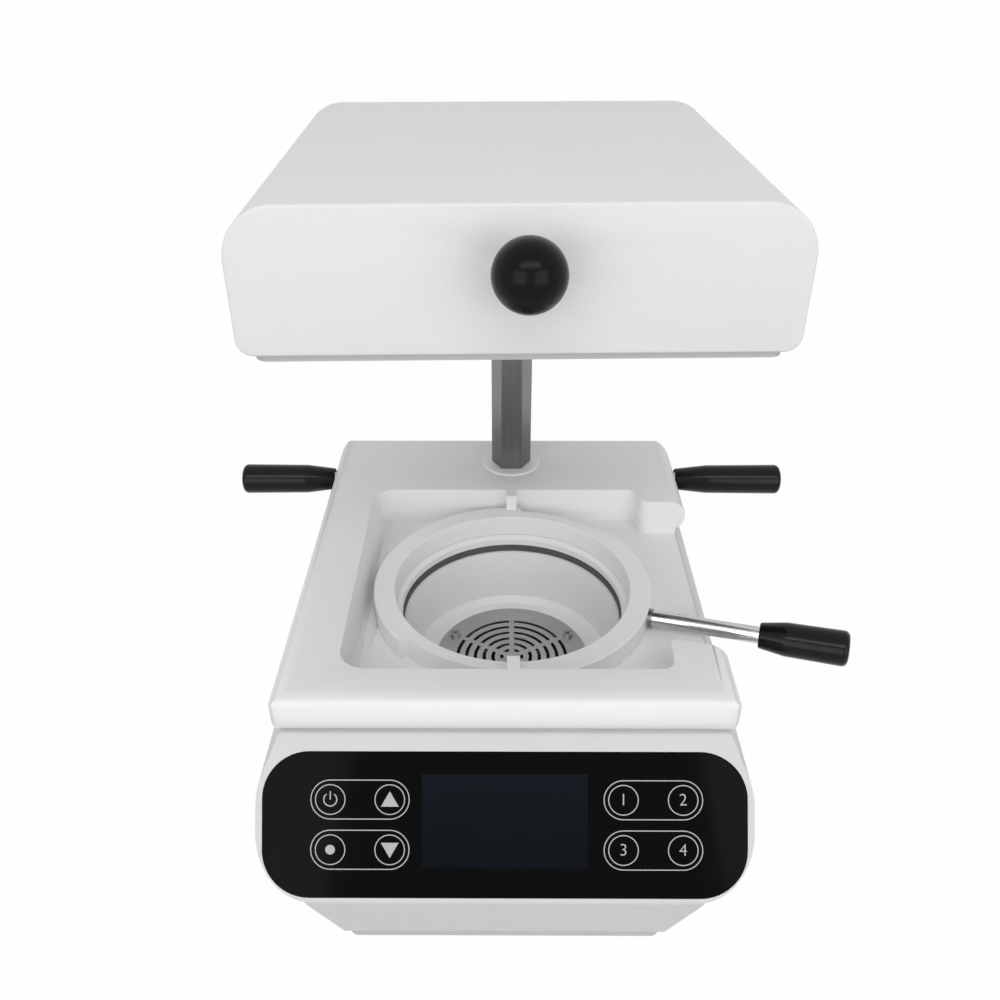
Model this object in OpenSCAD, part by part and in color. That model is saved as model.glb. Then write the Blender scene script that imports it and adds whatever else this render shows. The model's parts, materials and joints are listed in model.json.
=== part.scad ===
// Bench-top dental vacuum former.
// X is the width, Y runs from the front (-) to the back (+) and Z is up, with the feet on Z = 0.
// The clamp ring's centre lies on X = 0, Y = ring_y, and the post stands behind it.

/* [Heights above the table] */
// Height of the rubber feet under the floor plate
foot_h = 5; // [4:0.5:10]
// Thickness of the floor plate
floor_t = 3; // [2:0.5:4]
// Top of the base, where the carriage rests
base_top_z = 103; // [98:1:110]
// Height of the carriage lip above the base
carriage_h = 24; // [23:0.5:27]
// Underside of the heater head's shell
head_z = 260; // [255:1:290]

/* [Base] */
// Offset of the housings to the side of the ring's centre line
body_x = -3.6; // [-5:0.1:0]
// Width of the base at its widest level
base_mid_w = 206; // [198:1:210]
// How far the base's top edge lies inside its widest level, on each side
base_top_in = 9.5; // [6:0.5:11]
// Width of the plinth where it meets the floor plate
base_foot_w = 139; // [130:1:142]
// Y of the base's top front edge, measured from the ring's centre
base_front_y = -83; // [-86:1:-81]
// Y of the nose under the glass panel, measured from the ring's centre
base_nose_y = -121.5; // [-124:0.5:-116]
// Height of the nose
base_nose_z = 44.5; // [42:0.5:50]
// Y of the base's rear face, measured from the ring's centre
base_back_y = 122.5; // [118:0.5:125]
// Wall of the base housing
base_wall = 2.6; // [2:0.1:3.2]

/* [Control panel] */
// Width of the white rim left beside the black glass
glass_rim = 2.9; // [1.5:0.1:4]
// Height of the black glass along the slope
glass_h = 60; // [52:0.5:61]
// Thickness of the glass
glass_t = 2; // [1.5:0.1:2.5]
// Corner radius of the glass
glass_r = 19.5; // [15:0.5:27]
// Distance of the glass centre from the slope's lower edge
glass_up = 32.2; // [30.5:0.1:32.5]
// Width of the display window
window_w = 68.5; // [55:0.5:75]
// Height of the display window
window_h = 38.5; // [30:0.5:42]

/* [Film carriage] */
// Width of the carriage lip
lip_w = 191; // [188:0.5:194]
// Y of the lip's front, measured from the ring's centre
lip_front_y = -91.5; // [-94:0.5:-90]
// Y of the lip's back, measured from the ring's centre
lip_back_y = 126.5; // [122:0.5:129]
// Height of the lip, which is rounded to a half circle
lip_h = 18; // [16:0.5:19]
// Wall of the carriage housing
carriage_wall = 2.6; // [2:0.1:3]
// Depth of the recess that holds the ring
recess_depth = 19.6; // [19:0.1:20]
// Half width of the recess on the left, at the lip's top
recess_left = 73; // [72:0.5:75]
// Half width of the recess on the right
recess_right = 67; // [66.6:0.1:69]
// Rear edge of the block in front of the lever's gap, measured from the ring's centre
gap_front_y = -51.5; // [-54:0.5:-50]
// Front of the cheek behind the lever's gap, measured from the ring's centre
gap_back_y = 57; // [55:0.5:60]
// Reach of the two retaining hooks to the ring's axis
hook_reach = 62.6; // [62.5:0.1:64]
// Width of the two retaining hooks
hook_w = 5.5; // [4:0.5:8]

/* [Clamp ring and lever] */
// Radius of the ring's clear opening
ring_bore_r = 56; // [54:0.5:57]
// Outer radius of the ring
ring_r = 66; // [65:0.1:66.2]
// Outer radius of the ring at its two notches
ring_notch_r = 62; // [60.5:0.1:62.2]
// Height of the ring
ring_h = 10.3; // [9:0.1:10.4]
// Where each notch begins, in degrees from the right side
notch_start = 220.5; // [215:0.5:225]
// Angle that each notch takes
notch_angle = 45; // [35:1:48]
// Direction of the lever, in degrees from the right side
lever_angle = -18.5; // [-20:0.5:-10]
// Diameter of the lever rod
rod_d = 7.6; // [6:0.2:8]
// Radius of the lever's tip from the ring's axis
lever_tip_r = 154; // [145:1:156]
// Length of the lever's grip
lever_grip_l = 38; // [32:1:45]

/* [Side handles] */
// Distance of the grips' tips from the middle
handle_tip_x = 151; // [145:0.5:155]
// Distance of the grips' axis behind the ring's centre
handle_back = 97; // [92:0.5:100]
// Height of the grips' axis above the base's top
handle_up = 14; // [12:0.5:16]
// Largest diameter of a grip
grip_d = 16.4; // [14:0.2:18]
// Diameter of the grip studs
stud_d = 8; // [6:0.5:8]

/* [Pot and grille] */
// Inner radius of the model pot at its rim
pot_r = 51.1; // [48:0.1:51.5]
// Inner radius of the model pot at its floor
pot_floor_r = 47.5; // [44:0.1:48]
// Depth of the pot from the rim to the grille
pot_depth = 28.4; // [25:0.2:29.4]
// Wall of the pot
pot_wall = 2.2; // [1.6:0.1:2.4]
// Radius of the stainless grille plate
grille_r = 38.4; // [36:0.1:40]
// Thickness of the grille plate
grille_t = 1; // [0.8:0.1:1.5]
// Width of the grille's slots
slot_w = 1.7; // [1.2:0.1:2]
// Width of the six spokes between the slots
spoke_w = 2.6; // [2:0.1:3.5]
// Radius of the outermost slot ring
slot_outer_r = 27.4; // [26:0.1:29]
// Number of slot rings
slot_rings = 5; // [3:1:6]

/* [Post and heater head] */
// Distance of the post behind the ring's centre
post_back = 99.5; // [96:0.5:101]
// Size of the hexagonal post across its flats
post_af = 18.6; // [16:0.2:19]
// Diameter of the turned spigot on the post
spigot_d = 12; // [10:0.5:12]
// Width of the head
head_w = 196; // [190:1:206]
// Offset of the head's middle to the side of the post
head_x = -2; // [-4:0.5:2]
// Height of the head's shell
head_h = 52; // [50:1:56]
// Y of the head's front face, measured from the ring's centre
head_front_y = -57; // [-64:1:-57]
// Y of the head's rear face, measured from the ring's centre
head_back_y = 126; // [122:1:128]
// Radius of the head's upper edges
head_top_r = 19; // [16:1:24]
// Radius of the head's lower edges
head_low_r = 6; // [4:1:8]
// Wall of the head's shell
head_wall = 2.5; // [2:0.1:3]
// How far the head is turned on the post, in degrees
head_turn = 1.3; // [0:0.1:4]
// Radius of the heater opening
heater_r = 50; // [46:0.5:50]
// Diameter of the ball knob
ball_d = 24.5; // [20:0.5:28]
// Distance of the ball's centre from the head's front face
ball_out = 18; // [15:0.5:24]
// Height of the ball's centre above the head's underside
ball_up = 34.5; // [26:0.5:36]

/* [Hidden] */
$fn = 64;
ring_y = -3.473;
touch = 0.3;
fit = 0.06;
base_top_w = base_mid_w - 2 * base_top_in;
glass_w = base_mid_w - 2 * glass_rim;
key_board_in = window_w / 2 + 5.25;
key_board_out = glass_w / 2 - 24;
deg_nose = atan2(base_top_z - base_nose_z, base_front_y - base_nose_y);
slope_len = norm([base_top_z - base_nose_z, base_front_y - base_nose_y]);
floor_top = foot_h + floor_t;
deck_z = base_top_z + carriage_h;
recess_z = deck_z - recess_depth;
skirt_z = base_top_z + touch;
lip_low_z = deck_z - lip_h;
lip_r = lip_h / 2 - 0.02;
skirt_in = 4.5;
ring_z = recess_z + touch;
ring_top = ring_z + ring_h;
post_y = ring_y + post_back;
seat_r = 53;
seat_body_r = 58.5;
seat_flange_r = 62;
seat_low_z = base_top_z - 0.6;
pot_mouth_r = 60.3;
seal_h = 3.2;
rim_z = seat_low_z - touch - seal_h;
pot_flange_t = 2.4;
pot_flange_r = pot_mouth_r - 0.3;
ledge_z = rim_z - pot_flange_t;
ledge_r = pot_flange_r - 4;
grille_top = rim_z - pot_depth;
pot_floor_top = grille_top - grille_t;
pot_under = pot_floor_top - pot_wall;
pot_hole_r = 29.5;
grille_screw_r = 33.6;
gasket_r0 = 20;
gasket_r1 = 32;
fan_top = pot_under - 3;
fan_r = 50;
fan_h = 27;
fan_wall = 2;
fan_low = fan_top - fan_h;
motor_r = 36;
motor_low = floor_top + 3;
shaft_r = 4;
post_low = floor_top + 6;
collar_t = 2.2;
plate_t = 2.8;
head_plate_z = head_z - plate_t;
post_top = head_plate_z - collar_t;
hub_top = head_z + 36;
spigot_top = hub_top + 0.4;
hub_r = 17;
bush_r = 9;
post_bush_r = 14;
post_bush_low = base_top_z - 18;
handle_z = base_top_z + handle_up;
handle_boss_x = lip_w / 2 - 20;
head_top = head_z + head_h;
reflector_top = head_z + 27;
shield_z = reflector_top + 6;
heater_z = head_z + 14;
tray_in = 5;
gasket_mid_r = 59;
gasket_w = 2.8;
plate_head_d = 5;
plate_head_t = 0.8;

// Geometry helpers

function unit(v) = v / norm(v);
function corner_half(a, p, b) = acos(unit(a - p) * unit(b - p)) / 2;
function corner_centre(a, p, b, r) =
    p + unit(unit(a - p) + unit(b - p)) * r / sin(corner_half(a, p, b));
function corner_ends(a, p, b, r) = r <= 0 ? [p] : [
    p + unit(a - p) * r / tan(corner_half(a, p, b)),
    p + unit(b - p) * r / tan(corner_half(a, p, b))
];
function before(pts, i) = pts[(i + len(pts) - 1) % len(pts)];
function after(pts, i) = pts[(i + 1) % len(pts)];

// Moves every side of a convex outline inwards by t.
function inset(pts, t) = t == 0 ? pts :
    [for (i = [0 : len(pts) - 1]) corner_centre(before(pts, i), pts[i], after(pts, i), t)];

// A convex outline whose corners are true arcs.
module round_poly(pts, radii) {
    polygon([
        for (i = [0 : len(pts) - 1])
            for (q = corner_ends(before(pts, i), pts[i], after(pts, i), radii[i])) q
    ]);
    for (i = [0 : len(pts) - 1])
        if (radii[i] > 0)
            translate(corner_centre(before(pts, i), pts[i], after(pts, i), radii[i]))
                circle(r = radii[i]);
}

module round_inset(pts, radii, t) {
    round_poly(inset(pts, t), [for (r = radii) max(r - t, 0)]);
}

module round_rect(w, h, r) {
    round_poly([[-w / 2, -h / 2], [w / 2, -h / 2], [w / 2, h / 2], [-w / 2, h / 2]], [r, r, r, r]);
}

module along_x(x0, x1) {
    translate([x0, 0, 0])
        rotate([90, 0, 90])
            linear_extrude(height = x1 - x0)
                children();
}

module along_y(y0, y1) {
    translate([0, y1, 0])
        rotate([90, 0, 0])
            linear_extrude(height = y1 - y0)
                children();
}

module along_z(z0, z1) {
    translate([0, 0, z0])
        linear_extrude(height = z1 - z0)
            children();
}

module rod_z(r, z0, z1) {
    translate([0, 0, z0])
        cylinder(r = r, h = z1 - z0);
}

module tube_z(r_out, r_in, z0, z1) {
    difference() {
        rod_z(r_out, z0, z1);
        rod_z(r_in, z0 - 1, z1 + 1);
    }
}

module hex_z(af, z0, z1) {
    translate([0, 0, z0])
        rotate([0, 0, 0])
            cylinder(d = af / cos(30), h = z1 - z0, $fn = 6);
}

module at_ring() {
    translate([0, ring_y, 0])
        children();
}

module at_post() {
    translate([0, post_y, 0])
        children();
}

module mirror_x() {
    children();
    mirror([1, 0, 0])
        children();
}

// A screw with a pan head and a cross recess, pointing down from the origin.
module pan_screw(d, l, head_d, head_t) {
    difference() {
        union() {
            rod_z(d / 2, -l, 0.01);
            rod_z(head_d / 2, 0, head_t);
        }
        for (a = [0, 90])
            rotate([0, 0, a])
                translate([-head_d * 0.3, -head_d * 0.06, head_t * 0.45])
                    cube([head_d * 0.6, head_d * 0.12, head_t]);
    }
}

// Base housing

base_side = [
    [base_nose_y + 10.5, floor_top], [base_back_y - 6, floor_top], [base_back_y, base_nose_z],
    [base_back_y, base_top_z], [base_front_y, base_top_z], [base_nose_y, base_nose_z]
];
base_side_r = [4, 4, 0, 2.5, 1.5, 3];
base_upper = [
    [-base_mid_w / 2, base_nose_z], [base_mid_w / 2, base_nose_z], [base_mid_w / 2, base_top_z - 20],
    [base_top_w / 2, base_top_z], [-base_top_w / 2, base_top_z], [-base_mid_w / 2, base_top_z - 20]
];
base_upper_r = [24, 24, 22, 2, 2, 22];
plinth_top_w = base_foot_w + 32;
base_plinth = [
    [-base_foot_w / 2, floor_top], [base_foot_w / 2, floor_top],
    [plinth_top_w / 2, base_nose_z + 8], [-plinth_top_w / 2, base_nose_z + 8]
];

// The end of a wall line, carried on below it by a given drop.
function carried(low, high, drop) = low + (low - high) * drop / (high[1] - low[1]);

module base_outline(t, drop) {
    side = [
        carried(base_side[0], base_side[5], drop), carried(base_side[1], base_side[2], drop),
        base_side[2], base_side[3], base_side[4], base_side[5]
    ];
    plinth = [
        carried(base_plinth[0], base_plinth[3], drop), carried(base_plinth[1], base_plinth[2], drop),
        base_plinth[2], base_plinth[3]
    ];
    translate([body_x, ring_y, 0])
    intersection() {
        intersection() {
            along_x(-130, 130)
                round_inset(side, base_side_r, t);
            union() {
                along_y(-150, 150)
                    round_inset(base_upper, base_upper_r, t);
                along_y(-150, 150)
                    round_inset(plinth, [4, 4, 0, 0], t);
            }
        }
        along_z(-20, 140)
            round_plan(base_mid_w - 2 * t + 0.04, base_nose_y - 30, base_back_y - t + 0.02,
                4, 14 - t, 14 - t);
    }
}

// A plan outline with its own radii at the front, the back left and the back right.
module round_plan(w, y0, y1, front_r, back_left_r, back_right_r) {
    round_poly(
        [[-w / 2, y0], [w / 2, y0], [w / 2, y1], [-w / 2, y1]],
        [front_r, front_r, back_right_r, back_left_r]
    );
}

// Places children on the sloped face: X is the width, Y runs up the slope, Z points out.
module on_slope(up) {
    translate([body_x, ring_y + base_nose_y, base_nose_z])
        rotate([deg_nose, 0, 0])
            translate([0, up, 0])
                children();
}

module floor_screw_spots() {
    for (side = [0, 180])
        for (y = [base_nose_y + 26, base_back_y - 22])
            translate([body_x + (side == 0 ? 1 : -1) * (base_foot_w / 2 - 12), ring_y + y, 0])
                rotate([0, 0, side])
                    children();
}

module base_shell() {
    color("whitesmoke")
    difference() {
        base_outline(0, 0);
        difference() {
            base_outline(base_wall, 12);
            at_ring()
                rod_z(pot_mouth_r + 5, ledge_z - 3, base_top_z);
            at_post()
                rod_z(post_bush_r + 5, base_top_z - 12, base_top_z);
            on_slope(glass_up)
                translate([0, 0, -glass_t - 3])
                    linear_extrude(height = glass_t + 10)
                        round_rect(glass_w - 2, glass_h - 0.5, glass_r - 1);
            floor_screw_spots() {
                rod_z(4.5, floor_top, floor_top + 16);
                translate([0, -1.5, floor_top])
                    cube([30, 3, 16]);
            }
            translate([inlet_x - inlet_w / 2 - 3, ring_y + base_back_y - 6, rear_z - inlet_h / 2 - 3])
                cube([inlet_w + 6, 12, inlet_h + 6]);
            translate([rocker_x - rocker_w / 2 - 3, ring_y + base_back_y - 6, rear_z - rocker_h / 2 - 3])
                cube([rocker_w + 6, 12, rocker_h + 6]);
        }
        at_ring() {
            rod_z(pot_mouth_r, ledge_z, base_top_z + 1);
            rod_z(ledge_r, 0, base_top_z);
        }
        at_post()
            rod_z(post_bush_r + 0.5, 60, base_top_z + 1);
        on_slope(glass_up) {
            translate([0, 0, -glass_t - 0.1])
                linear_extrude(height = 20)
                    round_rect(glass_w + 0.3, glass_h + 0.3, glass_r + 0.15);
            translate([-glass_w / 2 + 16, -glass_h / 2 + 8, -12])
                cube([glass_w - 32, glass_h - 16, 20]);
        }
        floor_screw_spots()
            rod_z(1.5, 0, floor_top + 12);
        inlet_cut();
        louvre_cuts();
    }
}

inlet_w = 28;
inlet_h = 20;
inlet_x = -33;
rocker_w = 14;
rocker_h = 21;
rocker_x = 28;
rear_z = 58;
louvre_x = 55;
louvre_w = 26;

module inlet_cut() {
    translate([inlet_x - inlet_w / 2 - fit, ring_y + base_back_y - 20, rear_z - inlet_h / 2 - fit])
        cube([inlet_w + 2 * fit, 40, inlet_h + 2 * fit]);
    translate([rocker_x - rocker_w / 2 - fit, ring_y + base_back_y - 20, rear_z - rocker_h / 2 - fit])
        cube([rocker_w + 2 * fit, 40, rocker_h + 2 * fit]);
}

// Exhaust louvres: two banks on the rear face and one bank on each side.
module louvre_cuts() {
    for (side = [-1, 1])
        for (i = [0 : 4])
            translate([body_x + side * (louvre_x + louvre_w / 2) - louvre_w / 2,
                ring_y + base_back_y - 10, 52 + i * 7])
                cube([louvre_w, 20, 3]);
    for (side = [-1, 1])
        for (i = [0 : 7])
            translate([body_x + side * (base_mid_w / 2 - 1.5) - 12, ring_y - 4 + i * 8, base_top_z - 36])
                along_z(0, 18)
                    translate([12, 0])
                        round_rect(24, 3.2, 0);
}

module base_floor() {
    color("gainsboro")
    difference() {
        along_z(foot_h, floor_top)
            translate([body_x, ring_y + (base_nose_y + 10.5 + base_back_y - 6) / 2])
                round_rect(base_foot_w - 1.6, base_back_y - base_nose_y - 16.5 - 1.6, 4);
        floor_screw_spots()
            rod_z(1.8, 0, floor_top + 1);
        foot_spots()
            rod_z(foot_screw_d / 2, 0, floor_top + 1);
        socket_spots()
            rod_z(2.2, 0, floor_top + 1);
        for (x = [-2 : 2])
            for (y = [-3 : 3])
                translate([x * 9, ring_y + y * 9, 0])
                    rod_z(2, 0, floor_top + 1);
    }
}

foot_screw_d = 3.1;
foot_x = base_foot_w / 2 - 12;
foot_front_y = ring_y + base_nose_y + 40;
foot_back_y = ring_y + base_back_y - 36;

module foot_spots() {
    for (x = [body_x - foot_x, body_x + foot_x])
        for (y = [foot_front_y, foot_back_y])
            translate([x, y, 0])
                children();
}

module feet() {
    color("dimgray")
    foot_spots()
        difference() {
            rotate_extrude()
                polygon([[0, 0], [7, 0], [8, 1], [8.6, foot_h], [0, foot_h]]);
            rod_z(3.2, -1, 2);
            rod_z(foot_screw_d / 2 + 0.05, 0, foot_h + 1);
        }
}

module foot_screws() {
    color("silver")
    foot_spots()
        translate([0, 0, 2])
            rotate([180, 0, 0])
                    pan_screw(foot_screw_d, foot_h + floor_t - 0.5, 5.6, 1.4);
}

module floor_screws() {
    color("silver")
    floor_screw_spots()
        translate([0, 0, foot_h])
            rotate([180, 0, 0])
                pan_screw(2.9, floor_t + 9, 5.6, 1.6);
}

// Front panel

module front_glass() {
    color([0.03, 0.03, 0.035])
    on_slope(glass_up)
        translate([0, 0, -glass_t])
            linear_extrude(height = glass_t)
                round_rect(glass_w, glass_h, glass_r);
}

module display_module() {
    color([0.12, 0.14, 0.2])
    on_slope(glass_up + 1.5)
        translate([0, 0, -glass_t - 5.2]) {
            linear_extrude(height = 5)
                round_rect(window_w + 4, window_h - 1, 0);
            translate([0, 0, -1.8])
                linear_extrude(height = 1.8)
                    round_rect(window_w - 4, window_h - 8, 0);
        }
}

module touch_board() {
    color("darkgreen")
    on_slope(glass_up)
        translate([0, 0, -glass_t - 0.2])
            for (side = [-1, 1]) {
                translate([side * (key_board_in + key_board_out) / 2, 0, -1.6])
                    linear_extrude(height = 1.5)
                        round_rect(key_board_out - key_board_in, glass_h - 18, 0);
                for (k = [-1, 1])
                    translate([side * (key_board_in + key_board_out) / 2 - 5, k * 10 - 2, -3.2])
                        cube([10, 4, 1.6]);
            }
}

// Model pot, grille and vacuum motor

module model_pot() {
    color("white")
    at_ring()
        difference() {
            rotate_extrude($fn = 128)
                polygon([
                    [pot_hole_r, pot_under], [pot_floor_r + pot_wall, pot_under],
                    [pot_r + pot_wall, ledge_z], [pot_flange_r, ledge_z], [pot_flange_r, rim_z],
                    [pot_r, rim_z], [pot_floor_r, pot_floor_top + 3],
                    [pot_floor_r - 3, pot_floor_top], [pot_hole_r, pot_floor_top]
                ]);
            grille_screw_spots()
                rod_z(1.4, pot_under - 1, grille_top + 1);
        }
}

module pot_seal() {
    color([0.12, 0.12, 0.12])
    at_ring()
        rotate_extrude($fn = 128)
            polygon([
                [pot_r + 1.2, rim_z], [seat_body_r - 0.5, rim_z], [seat_body_r - 0.5, rim_z + 2.2],
                [seat_body_r - 2, rim_z + seal_h], [pot_r + 2.6, rim_z + seal_h],
                [pot_r + 1.2, rim_z + 2]
            ]);
}

module grille_screw_spots() {
    for (a = [30, 150, 270])
        rotate([0, 0, a])
            translate([grille_screw_r, 0, 0])
                children();
}

module grille_plate() {
    pitch = (slot_outer_r - 5) / slot_rings;
    color("silver")
    at_ring()
        difference() {
            rod_z(grille_r, pot_floor_top, grille_top);
            difference() {
                for (i = [0 : slot_rings])
                    tube_z(
                        slot_outer_r - i * pitch + slot_w / 2,
                        slot_outer_r - i * pitch - slot_w / 2,
                        pot_floor_top - 1, grille_top + 1
                    );
                for (a = [30, 90, 150])
                    rotate([0, 0, a])
                        translate([-grille_r, -spoke_w / 2, pot_floor_top - 2])
                            cube([grille_r * 2, spoke_w, 6]);
            }
            grille_screw_spots()
                rod_z(1.7, pot_floor_top - 1, grille_top + 1);
        }
}

module grille_screws() {
    color("lightgray")
    at_ring()
        grille_screw_spots()
            translate([0, 0, grille_top])
                pan_screw(2.8, grille_t + pot_wall - 0.2, 5.2, 1.5);
}

module motor_gasket() {
    color([0.15, 0.15, 0.15])
    at_ring()
        tube_z(gasket_r1, gasket_r0, fan_top, pot_under);
}

module fan_housing() {
    color("silver")
    at_ring()
        difference() {
            rod_z(fan_r, fan_low, fan_top);
            rod_z(fan_r - fan_wall, fan_low + fan_wall, fan_top - fan_wall);
            rod_z(17, fan_top - fan_wall - 1, fan_top + 1);
            rod_z(shaft_r + 1, fan_low - 1, fan_low + fan_wall + 1);
            for (i = [0 : 11])
                rotate([0, 0, i * 30])
                    translate([fan_r - 6, -4, fan_low + 7])
                        cube([12, 8, fan_h - 14]);
        }
}

// The impeller is a pair of discs with swept blades on the motor's shaft.
module fan_impeller() {
    impeller_r = fan_r - fan_wall - 4;
    z0 = fan_low + fan_wall + 3;
    z1 = fan_top - fan_wall - 3;
    color("lightgray")
    at_ring()
        union() {
            rod_z(impeller_r, z0, z0 + 1.5);
            rod_z(shaft_r, motor_low + 8, z1);
            rod_z(9, z0, z0 + 8);
            tube_z(impeller_r, 20, z1 - 1.5, z1);
            for (i = [0 : 8])
                rotate([0, 0, i * 40])
                    translate([impeller_r / 2, 0, z0 + 0.75])
                        rotate([0, 0, 38])
                            cube([impeller_r * 0.45, 1.4, z1 - z0 - 1.5]);
        }
}

module motor_can() {
    color("dimgray")
    at_ring()
        difference() {
            union() {
                rod_z(motor_r, motor_low, fan_low);
                rod_z(motor_r + 5, fan_low - 3, fan_low);
            }
            rod_z(shaft_r + fit, motor_low + 6, fan_low + 1);
            rod_z(shaft_r + 4, motor_low + 12, fan_low - 5);
            for (i = [0 : 11])
                rotate([0, 0, i * 30])
                    translate([motor_r - 2, -2.5, motor_low + 4])
                        cube([6, 5, 10]);
        }
}

module motor_mounts() {
    color([0.1, 0.1, 0.1])
    at_ring()
        for (a = [45 : 90 : 315])
            rotate([0, 0, a])
                translate([motor_r - 9, 0, 0])
                    rod_z(6, floor_top, motor_low);
}

module power_board() {
    color("darkgreen")
    translate([body_x - base_foot_w / 2 + 62, ring_y + 61, floor_top]) {
        for (x = [-50, -14])
            for (y = [0, 22])
                translate([x, y - 8, 0])
                    rod_z(2.5, 0, 4);
        translate([-55, -12, 4])
            cube([46, 30, 1.6]);
        translate([-52, -8, 5.6])
            cube([16, 20, 14]);
        translate([-30, -2, 5.6])
            rod_z(6, 0, 16);
        translate([-18, 2, 5.6])
            rod_z(4, 0, 12);
        translate([-20, -10, 5.6])
            cube([8, 6, 9]);
    }
}

module power_inlet() {
    color([0.07, 0.07, 0.07])
    translate([inlet_x, ring_y + base_back_y, rear_z])
        difference() {
            union() {
                translate([-inlet_w / 2, -18, -inlet_h / 2])
                    cube([inlet_w, 18, inlet_h]);
                translate([-inlet_w / 2 - 3, 0, -inlet_h / 2 - 3])
                    cube([inlet_w + 6, 2, inlet_h + 6]);
            }
            along_y(-14, 3)
                round_poly([[-12, -8], [12, -8], [12, 4], [8, 8], [-8, 8], [-12, 4]],
                    [2, 2, 1, 1, 1, 1]);
        }
    color("silver")
    translate([inlet_x, ring_y + base_back_y, rear_z])
        for (x = [-7, 0, 7])
            translate([x - 1, -14.5, (x == 0 ? 1 : -2.5)])
                cube([2, 11, 4]);
}

module switch_frame() {
    color([0.07, 0.07, 0.07])
    translate([rocker_x, ring_y + base_back_y, rear_z])
        difference() {
            union() {
                translate([-rocker_w / 2, -14, -rocker_h / 2])
                    cube([rocker_w, 14, rocker_h]);
                translate([-rocker_w / 2 - 2, 0, -rocker_h / 2 - 2])
                    cube([rocker_w + 4, 2, rocker_h + 4]);
            }
            translate([-rocker_w / 2 + 1.5, -11, -rocker_h / 2 + 1.5])
                cube([rocker_w - 3, 20, rocker_h - 3]);
            translate([-rocker_w / 2 - 1, -3, 0])
                rotate([0, 90, 0])
                    cylinder(r = 1.5, h = rocker_w + 2, $fn = 32);
        }
}

module power_rocker() {
    color([0.1, 0.1, 0.1])
    translate([rocker_x, ring_y + base_back_y - 3, rear_z])
        union() {
            translate([-rocker_w / 2 + 1.9, 0, 0])
                rotate([90, 0, 90])
                    linear_extrude(height = rocker_w - 3.8)
                        polygon([[-3, -5], [-3, 5], [0, 8], [5, 7.6], [3.4, 0], [5, -7.6], [0, -8]]);
            translate([-rocker_w / 2 + 0.4, 0, 0])
                rotate([0, 90, 0])
                    cylinder(r = 1.44, h = rocker_w - 0.8, $fn = 32);
        }
}

// Post

module hex_post() {
    color("gray")
    at_post()
        union() {
            hex_z(post_af, post_low, post_top);
            rod_z(spigot_d / 2, post_top - 0.01, spigot_top);
        }
}

module socket_spots() {
    at_post()
        for (x = [-18, 18])
            for (y = [-9, 9])
                translate([x, y, 0])
                    children();
}

module post_socket() {
    color("darkgray")
    at_post()
        difference() {
            union() {
                along_z(floor_top, floor_top + 5)
                    round_rect(46, 27, 3);
                rod_z(14, floor_top, floor_top + 34);
            }
            hex_z(post_af + 0.2, post_low, floor_top + 40);
            translate([0, -post_y, 0])
                socket_spots()
                    rod_z(2.2, floor_top - 1, floor_top + 40);
        }
}

module socket_screws() {
    color("silver")
    socket_spots()
        translate([0, 0, foot_h - 0.05])
            rotate([180, 0, 0])
                pan_screw(4, floor_t + 4.6, 7, 2.4);
}

module thrust_washer() {
    color("gainsboro")
    at_post()
        tube_z(13, spigot_d / 2 + 0.05, post_top, head_plate_z - touch);
}

// Film carriage

lip_side = [
    [lip_front_y, lip_low_z], [lip_back_y, lip_low_z], [lip_back_y, deck_z], [lip_front_y, deck_z]
];
lip_front = [
    [-lip_w / 2, lip_low_z], [lip_w / 2, lip_low_z], [lip_w / 2, deck_z], [-lip_w / 2, deck_z]
];

module lip_solid(t) {
    translate([body_x, 0, 0])
    intersection() {
        along_x(-120, 120)
            round_inset(lip_side, [lip_r, 4, 4, lip_r], t);
        along_y(-120, 140)
            round_inset(lip_front, [lip_r, lip_r, lip_r, lip_r], t);
        along_z(lip_low_z - 1, deck_z + 1)
            round_plan(lip_w - 2 * t, lip_front_y + t, lip_back_y - t, 9, 8, 16);
    }
}

module skirt_plan(t) {
    translate([body_x, 0])
    round_plan(lip_w - 2 * skirt_in - 2 * t, lip_front_y + 11 + t, lip_back_y - skirt_in - t,
        6, 6, 12);
}

// The gain of a cut at a solid corner, which leaves that corner rounded.
module corner_gain(x, y, r, sx, sy) {
    translate([x, y])
        difference() {
            translate([sx > 0 ? -0.01 : -r, sy > 0 ? -0.01 : -r])
                square([r + 0.01, r + 0.01]);
            translate([sx * r, sy * r])
                circle(r = r);
        }
}

// Plan of the recess, grown by t on every side.
module recess_plan(t) {
    front_y = -70.5 - t;
    back_y = 69 + t;
    left_x = -recess_left - t;
    right_x = recess_right + t;
    round_poly(
        [[left_x, front_y], [right_x, front_y], [right_x, back_y], [left_x, back_y]],
        [12 + t, 6 + t, 5 + t, 12 + t]
    );
    polygon([
        [right_x - 20, gap_front_y - t], [right_x, gap_front_y - t], [120, gap_front_y - 12 - t],
        [120, gap_back_y + t], [right_x - 20, gap_back_y + t]
    ]);
    if (t == 0) {
        corner_gain(right_x, gap_front_y, 4, 1, -1);
        corner_gain(right_x, gap_back_y, 6, 1, 1);
    }
}

// The left wall of the recess leans outwards.
module recess_cut(t) {
    intersection() {
        along_z(recess_z - t, deck_z + 5)
            recess_plan(t);
        along_y(-140, 140)
            polygon([
                [-recess_left + 5 - t, recess_z - t], [140, recess_z - t], [140, deck_z + 5],
                [-recess_left - t - 1.2, deck_z + 5]
            ]);
    }
}

module hook_at(a, depth) {
    rotate([0, 0, a])
        translate([hook_reach, -hook_w / 2, ring_top + touch])
            cube([depth, hook_w, deck_z - ring_top - touch]);
}

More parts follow.
